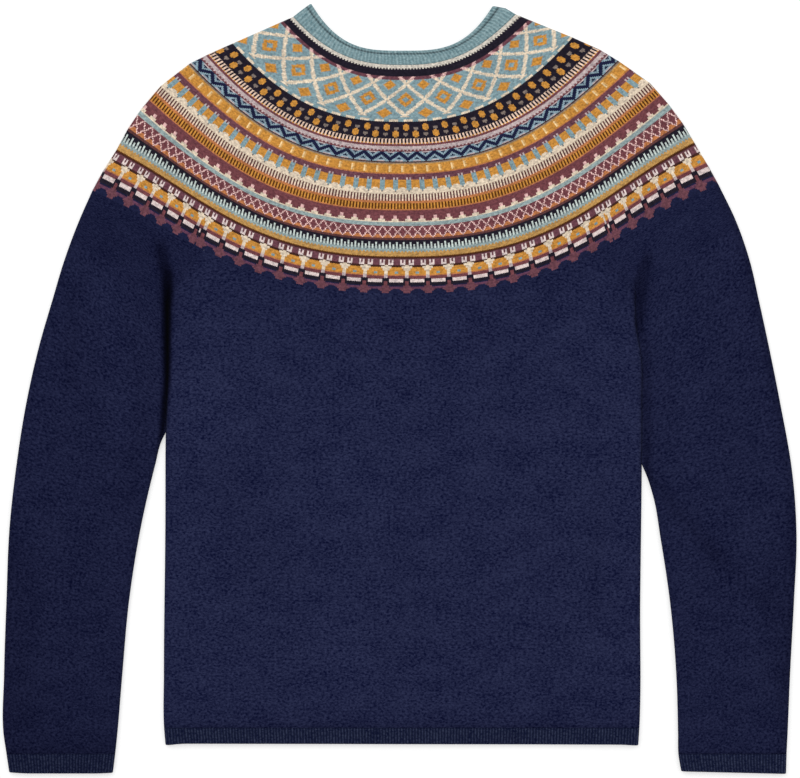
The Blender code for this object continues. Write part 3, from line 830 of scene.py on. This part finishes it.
sleeveShape = {
    "seamY": -346.5,
    # y, then x of the outer and of the inner folded edge
    "leftOuter": np.array((
        (-365.0, -371.5), (-346.5, -374.3), (-328.5, -377.0), (-271.5, -376.6), (-200.2, -374.3),
        (-129.0, -371.2), (-72.0, -364.8), (-15.0, -355.8), (42.0, -343.0), (84.8, -330.6),
        (122.8, -319.2), (160.8, -305.0), (188.8, -292.6))),
    "rightOuter": np.array((
        (-364.3, 367.2), (-346.5, 367.7), (-328.5, 368.6), (-271.5, 371.0), (-200.2, 374.8),
        (-143.2, 377.2), (-100.5, 375.3), (-73.9, 372.4), (-15.0, 362.0), (42.0, 350.6),
        (84.8, 341.3), (122.8, 332.5), (160.8, 319.2), (194.3, 303.1))),
    "leftInner": np.array((
        (-365.0, -273.1), (-346.5, -270.8), (-328.5, -268.9), (-271.5, -264.1), (-200.2, -257.5),
        (-129.0, -246.0), (-72.0, -232.8), (-48.2, -226.3))),
    "rightInner": np.array((
        (-364.3, 267.6), (-346.5, 264.7), (-328.5, 264.4), (-271.5, 262.7), (-200.2, 256.5),
        (-143.2, 248.0), (-100.5, 240.4), (-77.5, 232.6))),
    "slantShare": 3.0 / 17.0,   # how much of the sleeve's rows end on the slanted seam
    "openOver": 0.03,           # over what share the cut edge closes into a fold
    "overlap": 0.45,            # how far the inner fold reaches over the body's side
    "noseRise": 0.07,           # and how much higher it lies there, of the whole height
    "columns": 78,              # over one layer
    "rows": 210,
    "stitchMap": (124.0, 540.0),     # width of one layer and length, for its rows of stitches
}


def innerEdge(side, y):
    # The sleeve's inner folded edge: the body's side plus the overlap down to swingY, then a
    # curve of its own.
    inwardOverlap = -outward[side] * sleeveShape["overlap"]
    held = curveAt(y, bodyShape[side]) + inwardOverlap * contactShare(side, y)
    swing = [swingY[side], curveAt(swingY[side], bodyShape[side]) + inwardOverlap]
    free = curveAt(y, np.vstack([sleeveShape[side + "Inner"], swing]))
    return np.where(y > swingY[side], held, free)


def outerEdge(side, y):
    # The sleeve's outer folded edge, a curve through its table.
    return curveAt(y, sleeveShape[side + "Outer"])


def sleeveLines(side, down):
    # Plan lines across the sleeve at shares down its length. Each runs straight from its inner
    # to its outer edge and keeps (1 - down)^3 of the bend of the yoke's edge.
    ring = ringLines(yokeSeamY, steps=600)[0]
    slant = slantTop(side)
    beyond = ring[outward[side] * (ring[:, 0] - slant[0]) > 0.0]
    top = np.vstack([slant, beyond[::int(outward[side])]])
    share = sleeveShape["slantShare"]
    above = np.clip(down / share, 0.0, 1.0)[:, None]
    under = np.clip((down - share) / (1.0 - share), 0.0, 1.0)[:, None]
    arm = np.array(underarm[side])
    breakY = top[-1, 1] + arm[1] - slant[1]
    endY = sleeveShape["seamY"]
    outerY = top[-1, 1] + (breakY - top[-1, 1]) * above + (endY - breakY) * under
    innerY = slant[1] + (arm[1] - slant[1]) * above + (endY - arm[1]) * under
    slantX = slant[0] + (arm[0] - slant[0]) * above
    innerX = np.where(under > 0.0, innerEdge(side, innerY), slantX)
    outer = np.stack([outerEdge(side, outerY), outerY], axis=-1)
    inner = np.stack([innerX, innerY], axis=-1)
    run = runOf(top[None])[0]
    along = (run / run[-1])[:, None]
    bend = top - (top[0] + (top[-1] - top[0]) * along)
    return inner + (outer - inner) * along + bend * (1.0 - down[:, None, None]) ** 3


def makeSleeve(side):
    # A tube: the upper layer from the inner to the outer edge, then the lower layer back. The
    # painted shade along the outer fold is exp(-(distance / reach)^2).
    down = np.linspace(0.0, 1.0, sleeveShape["rows"] + 1)
    lines = sleeveLines(side, down)
    shares = np.linspace(0.0, 1.0, sleeveShape["columns"] + 1)[None, :]
    opening = (sleeveShape["slantShare"] - down) / sleeveShape["openOver"]
    cut = np.clip(opening, 0.0, 1.0)[:, None]
    nose = 0.5 + sleeveShape["noseRise"] * contactShare(side, lines[:, :1, 1])
    upper = layerPoints(lines, shares, upper=True, cutStart=cut, startNose=nose)
    lower = layerPoints(lines, shares, upper=False, cutStart=cut, startNose=nose)
    points = np.concatenate([upper, lower[:, -2::-1]], axis=1)
    flip = side == "left"
    faces = gridFaces(*points.shape[:2], flip=flip)
    width, length = sleeveShape["stitchMap"]
    perColumn = width / cloth["stitchWidth"] / sleeveShape["columns"]
    around = np.arange(points.shape[1])[None, :] * perColumn
    corners = cornerCoords(around, down[:, None] * (length / cloth["rowHeight"]), flip=flip)
    x, y = points[..., 0], points[..., 1]
    # painted shade: the sleeve's darker tone, the shade above the cuff and along the outer fold
    paintedDarkness = paintedShading["sleeve"][side]
    paintedDarkness = paintedDarkness + paintedSeamShade(y, sleeveShape["seamY"], paintedShading["overCuff"][side])
    edge, reach = paintedShading["sleeveEdge"][side]
    paintedDarkness = paintedDarkness + edge * np.exp(-(((x - outerEdge(side, y)) / reach) ** 2))
    return makePiece("sleeve" + side.title(), points.reshape(-1, 3), faces, corners, navyKnit,
                     kept=paintedLightKept(x, y, paintedDarkness).ravel())


sleeveLeft = makeSleeve("left")
sleeveRight = makeSleeve("right")
print("sleeves made")

bandShape = {
    "ribPitch": 2.78,
    "ribRise": 0.32,
    "perRib": 8,           # columns of points to a rib
    "outerRows": 12,
    "edgeRows": 4,
    "innerRows": 3,
    "seamDip": (1.2, 0.35),       # how far from the seam ribs are full, how much lower it lies
    "neckEdgeY": 321.8,
    "neckSeamY": 308.0,
    "neckRibs": 70,
    "bead": (1.4, 1.1, 0.40),     # millimetres from the edge, half width, rise
    "groove": (3.2, 0.7, -0.50),
    # y of a band's end at its left and right, and how much lower its two corners hang
    "hemEnd": (-336.8, -337.8, 1.5, 0.8),
    "cuffEnd": {"left": (-365.2, -365.2, -0.9, -0.5), "right": (-363.2, -365.6, 0.0, 0.0)},
    "cornerReach": 11.0,
    "linePoints": 121,
}


def bandProfile(depth):
    # The band cut through: down its outer face from the seam, half round the free edge, and
    # back up its inner face. Gives the distance down from the seam and in from the outer face.
    half = cloth["wall"] / 2.0
    outer = np.linspace(0.0, depth - half, bandShape["outerRows"])
    turn = np.linspace(0.0, np.pi, bandShape["edgeRows"] + 2)[1:-1]
    inner = np.linspace(depth - half, 0.0, bandShape["innerRows"])
    down = np.concatenate([outer, depth - half + half * np.sin(turn), inner])
    inward = np.concatenate([outer * 0.0, half - half * np.cos(turn), inner * 0.0 + 2.0 * half])
    return down, inward


def makeBand(name, linesAt, depth, ribs, material, swells=(), kept=1.0):
    # The profile carried round the folded ring, closed both ways. Ribs are
    # ribRise cos(2 pi rib), and each swell is rise exp(-((from edge - place) / width)^2).
    down, inward = bandProfile(depth)
    lines = linesAt(down)
    columns = ribs * bandShape["perRib"]
    shares = np.linspace(0.0, 1.0, columns + 1)[None, :]
    face = (1.0 - inward / cloth["wall"])[:, None]
    dipReach, dip = bandShape["seamDip"]
    fade = np.clip(down / dipReach, 0.0, 1.0)[:, None]
    ribWave = bandShape["ribRise"] * np.cos(2.0 * np.pi * ribs * shares) * fade
    raised = np.zeros(len(down))
    for place, width, rise in swells:
        raised = raised + rise * np.exp(-(((depth - down - place) / width) ** 2))
    raised = raised[:, None] - dip * (1.0 - fade)
    upper = layerPoints(lines, shares, inward[:, None], upper=True)
    lower = layerPoints(lines, shares, inward[:, None], upper=False)
    level = np.sin(foldTurn(np.minimum(shares, 1.0 - shares) * columns))
    upper[..., 2] += (ribWave + raised) * face * level
    lower[..., 2] += (bandShape["ribRise"] + ribWave) * face * level
    points = np.concatenate([upper, lower[:, -2:0:-1]], axis=1)
    rows, around = points.shape[:2]
    flat = points.reshape(-1, 3)
    faces = gridFaces(rows, around, closed=True)
    flip = not facesOutward(flat, faces)
    faces = faces[:, ::-1] if flip else faces
    u = np.arange(around + 1)[None, :] * (2.0 / bandShape["perRib"])
    v = np.append(down, -cloth["wall"])[:, None] / cloth["rowHeight"]
    return makePiece(name, flat, faces, cornerCoords(u, v, flip), material, kept=kept)


def bandLines(down, seamY, edges, end):
    # Lines across a band, one at each depth. The end's y goes straight from left to right,
    # less drop exp(-(distance from the corner / cornerReach)^2) at each corner.
    leftY, rightY, leftDrop, rightDrop = end
    across = np.linspace(0.0, 1.0, bandShape["linePoints"])[None, :]
    width = (edges[1](seamY) - edges[0](seamY)) / bandShape["cornerReach"]
    endY = leftY + (rightY - leftY) * across - leftDrop * np.exp(-((across * width) ** 2))
    endY = endY - rightDrop * np.exp(-(((1.0 - across) * width) ** 2))
    y = seamY + (endY - seamY) * (down / down.max())[:, None]
    leftX, rightX = edges[0](y), edges[1](y)
    return np.stack([leftX + (rightX - leftX) * across, y], axis=-1)


def makeNeck():
    # Along the neck's rings, from the yoke's first one up to the bead.
    seamY = bandShape["neckSeamY"]
    return makeBand("neckRib", lambda down: ringLines(seamY + down),
                    bandShape["neckEdgeY"] - seamY, bandShape["neckRibs"], blueRib,
                    swells=(bandShape["bead"], bandShape["groove"]))


def makeEnd(name, seamY, edges, end, paintedDarkness=0.0):
    # A navy band that carries on two edges of the cloth above it, with width / ribPitch ribs,
    # and with its darkness as painted shade over the whole band.
    ribs = int((edges[1](seamY) - edges[0](seamY)) / bandShape["ribPitch"])
    return makeBand(name, lambda down: bandLines(down, seamY, edges, end), seamY - end[0],
                    ribs, navyRib, kept=(1.0 - paintedDarkness) ** paintedShading["screenPower"])


def makeHem():
    # Its edges are the body's side folds.
    edges = (lambda y: curveAt(y, bodyShape["left"]), lambda y: curveAt(y, bodyShape["right"]))
    return makeEnd("hemBand", bodyShape["seamY"], edges, bandShape["hemEnd"])


def makeCuff(side):
    # Its edges are the sleeve's folds, the one nearer the left first.
    edges = (lambda y: outerEdge(side, y), lambda y: innerEdge(side, y))[::-int(outward[side])]
    return makeEnd("cuff" + side.title(), sleeveShape["seamY"], edges,
                   bandShape["cuffEnd"][side], paintedShading["cuff"][side])


neckRib = makeNeck()
hemBand = makeHem()
cuffLeft = makeCuff("left")
cuffRight = makeCuff("right")
print("bands made")

# What each piece stands for, and its cut.
pieces = [
    # piece, CAD node, material slot, cut width and length in metres, cut area, lies on
    (yokeFront, "yoke", "yoke_knit", (0.62, 0.29), 0.109, ["yokeBack"]),
    (yokeBack, "yoke", "yoke_knit", (0.62, 0.29), 0.109, []),
    (bodyFront, "front", "navy_knit", (0.46, 0.48), 0.193, ["bodyBack"]),
    (bodyBack, "back", "navy_knit", (0.46, 0.48), 0.193, []),
    (sleeveLeft, "sleeve_left", "navy_knit", (0.27, 0.56), 0.126, []),
    (sleeveRight, "sleeve_right", "navy_knit", (0.27, 0.56), 0.130, []),
    (neckRib, "neckband", "blue_rib", (0.50, 0.0138), None, []),
    (hemBand, "hem_band", "navy_rib", (0.91, 0.0159), None, []),
    (cuffLeft, "cuff_left", "navy_rib", (0.21, 0.0185), None, []),
    (cuffRight, "cuff_right", "navy_rib", (0.21, 0.0178), None, []),
]
for piece, node, slot, flat, area, liesOn in pieces:
    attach(piece, "root")
    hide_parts(node)

# Lengths here are in metres.
studio = {
    "floorColour": (196, 196, 196),
    "floorRoughness": 0.95,
    "floorGlow": 0.5,
    "floorZ": -0.0004,
    "floorHalf": 3.0,
    "cameraHeight": 3.0,
    "cameraY": 0.00024,
    "sensorWidth": 36.0,      # in millimetres, as Blender has it
    "viewWidth": 0.760,       # across the picture, at the height of the cloth
    "worldStrength": 0.62,
    "lamps": (
        # x, y, z, size, watts
        (-1.1, 1.3, 2.4, 2.2, 34.0),
        (1.4, 0.6, 2.6, 2.4, 22.0),
    ),
}


def makeFloor():
    # A square under the cloth, from -floorHalf to floorHalf each way, that glows a little.
    side = studio["floorHalf"]
    mesh = bpy.data.meshes.new("floor")
    corners = [(-side, -side), (side, -side), (side, side), (-side, side)]
    mesh.from_pydata([(x, y, studio["floorZ"]) for x, y in corners], [], [(0, 1, 2, 3)])
    material = bpy.data.materials.new("floorPaper")
    material.use_nodes = True
    shader = material.node_tree.nodes["Principled BSDF"]
    shader.inputs["Base Color"].default_value = tuple(linear(studio["floorColour"]))
    shader.inputs["Roughness"].default_value = studio["floorRoughness"]
    shader.inputs["Emission Color"].default_value = (1.0, 1.0, 1.0, 1.0)
    shader.inputs["Emission Strength"].default_value = studio["floorGlow"]
    mesh.materials.append(material)
    floor = bpy.data.objects.new("floor", mesh)
    bpy.context.scene.collection.objects.link(floor)


def makeLight():
    # White light from all round, and square lamps turned to the middle of the floor: tilted by
    # arccos(height / distance), and turned by the angle of x and y plus a right angle.
    world = bpy.data.worlds.new("studio")
    world.use_nodes = True
    sky = world.node_tree.nodes["Background"]
    sky.inputs["Color"].default_value = (1.0, 1.0, 1.0, 1.0)
    sky.inputs["Strength"].default_value = studio["worldStrength"]
    bpy.context.scene.world = world
    for k, (x, y, z, size, watts) in enumerate(studio["lamps"]):
        data = bpy.data.lights.new(f"softbox{k}", "AREA")
        data.size = size
        data.energy = watts
        lamp = bpy.data.objects.new(f"softbox{k}", data)
        lamp.location = (x, y, z)
        away = np.array([x, y, z]) / np.linalg.norm([x, y, z])
        lamp.rotation_mode = "XYZ"
        lamp.rotation_euler = (np.arccos(away[2]), 0.0, np.arctan2(away[1], away[0]) + np.pi / 2.0)
        bpy.context.scene.collection.objects.link(lamp)


def makeCamera():
    # Straight down. The lens is sensor width x height above the cloth / width of the view.
    data = bpy.data.cameras.new("camera")
    data.sensor_width = studio["sensorWidth"]
    clothHeight = cloth["restHeight"] * millimetre
    data.lens = data.sensor_width * (studio["cameraHeight"] - clothHeight) / studio["viewWidth"]
    camera = bpy.data.objects.new("camera", data)
    camera.location = (0.0, studio["cameraY"], studio["cameraHeight"])
    bpy.context.scene.collection.objects.link(camera)
    bpy.context.scene.camera = camera


makeFloor()
makeLight()
makeCamera()
bpy.context.scene.view_settings.view_transform = "Standard"
print("studio made")
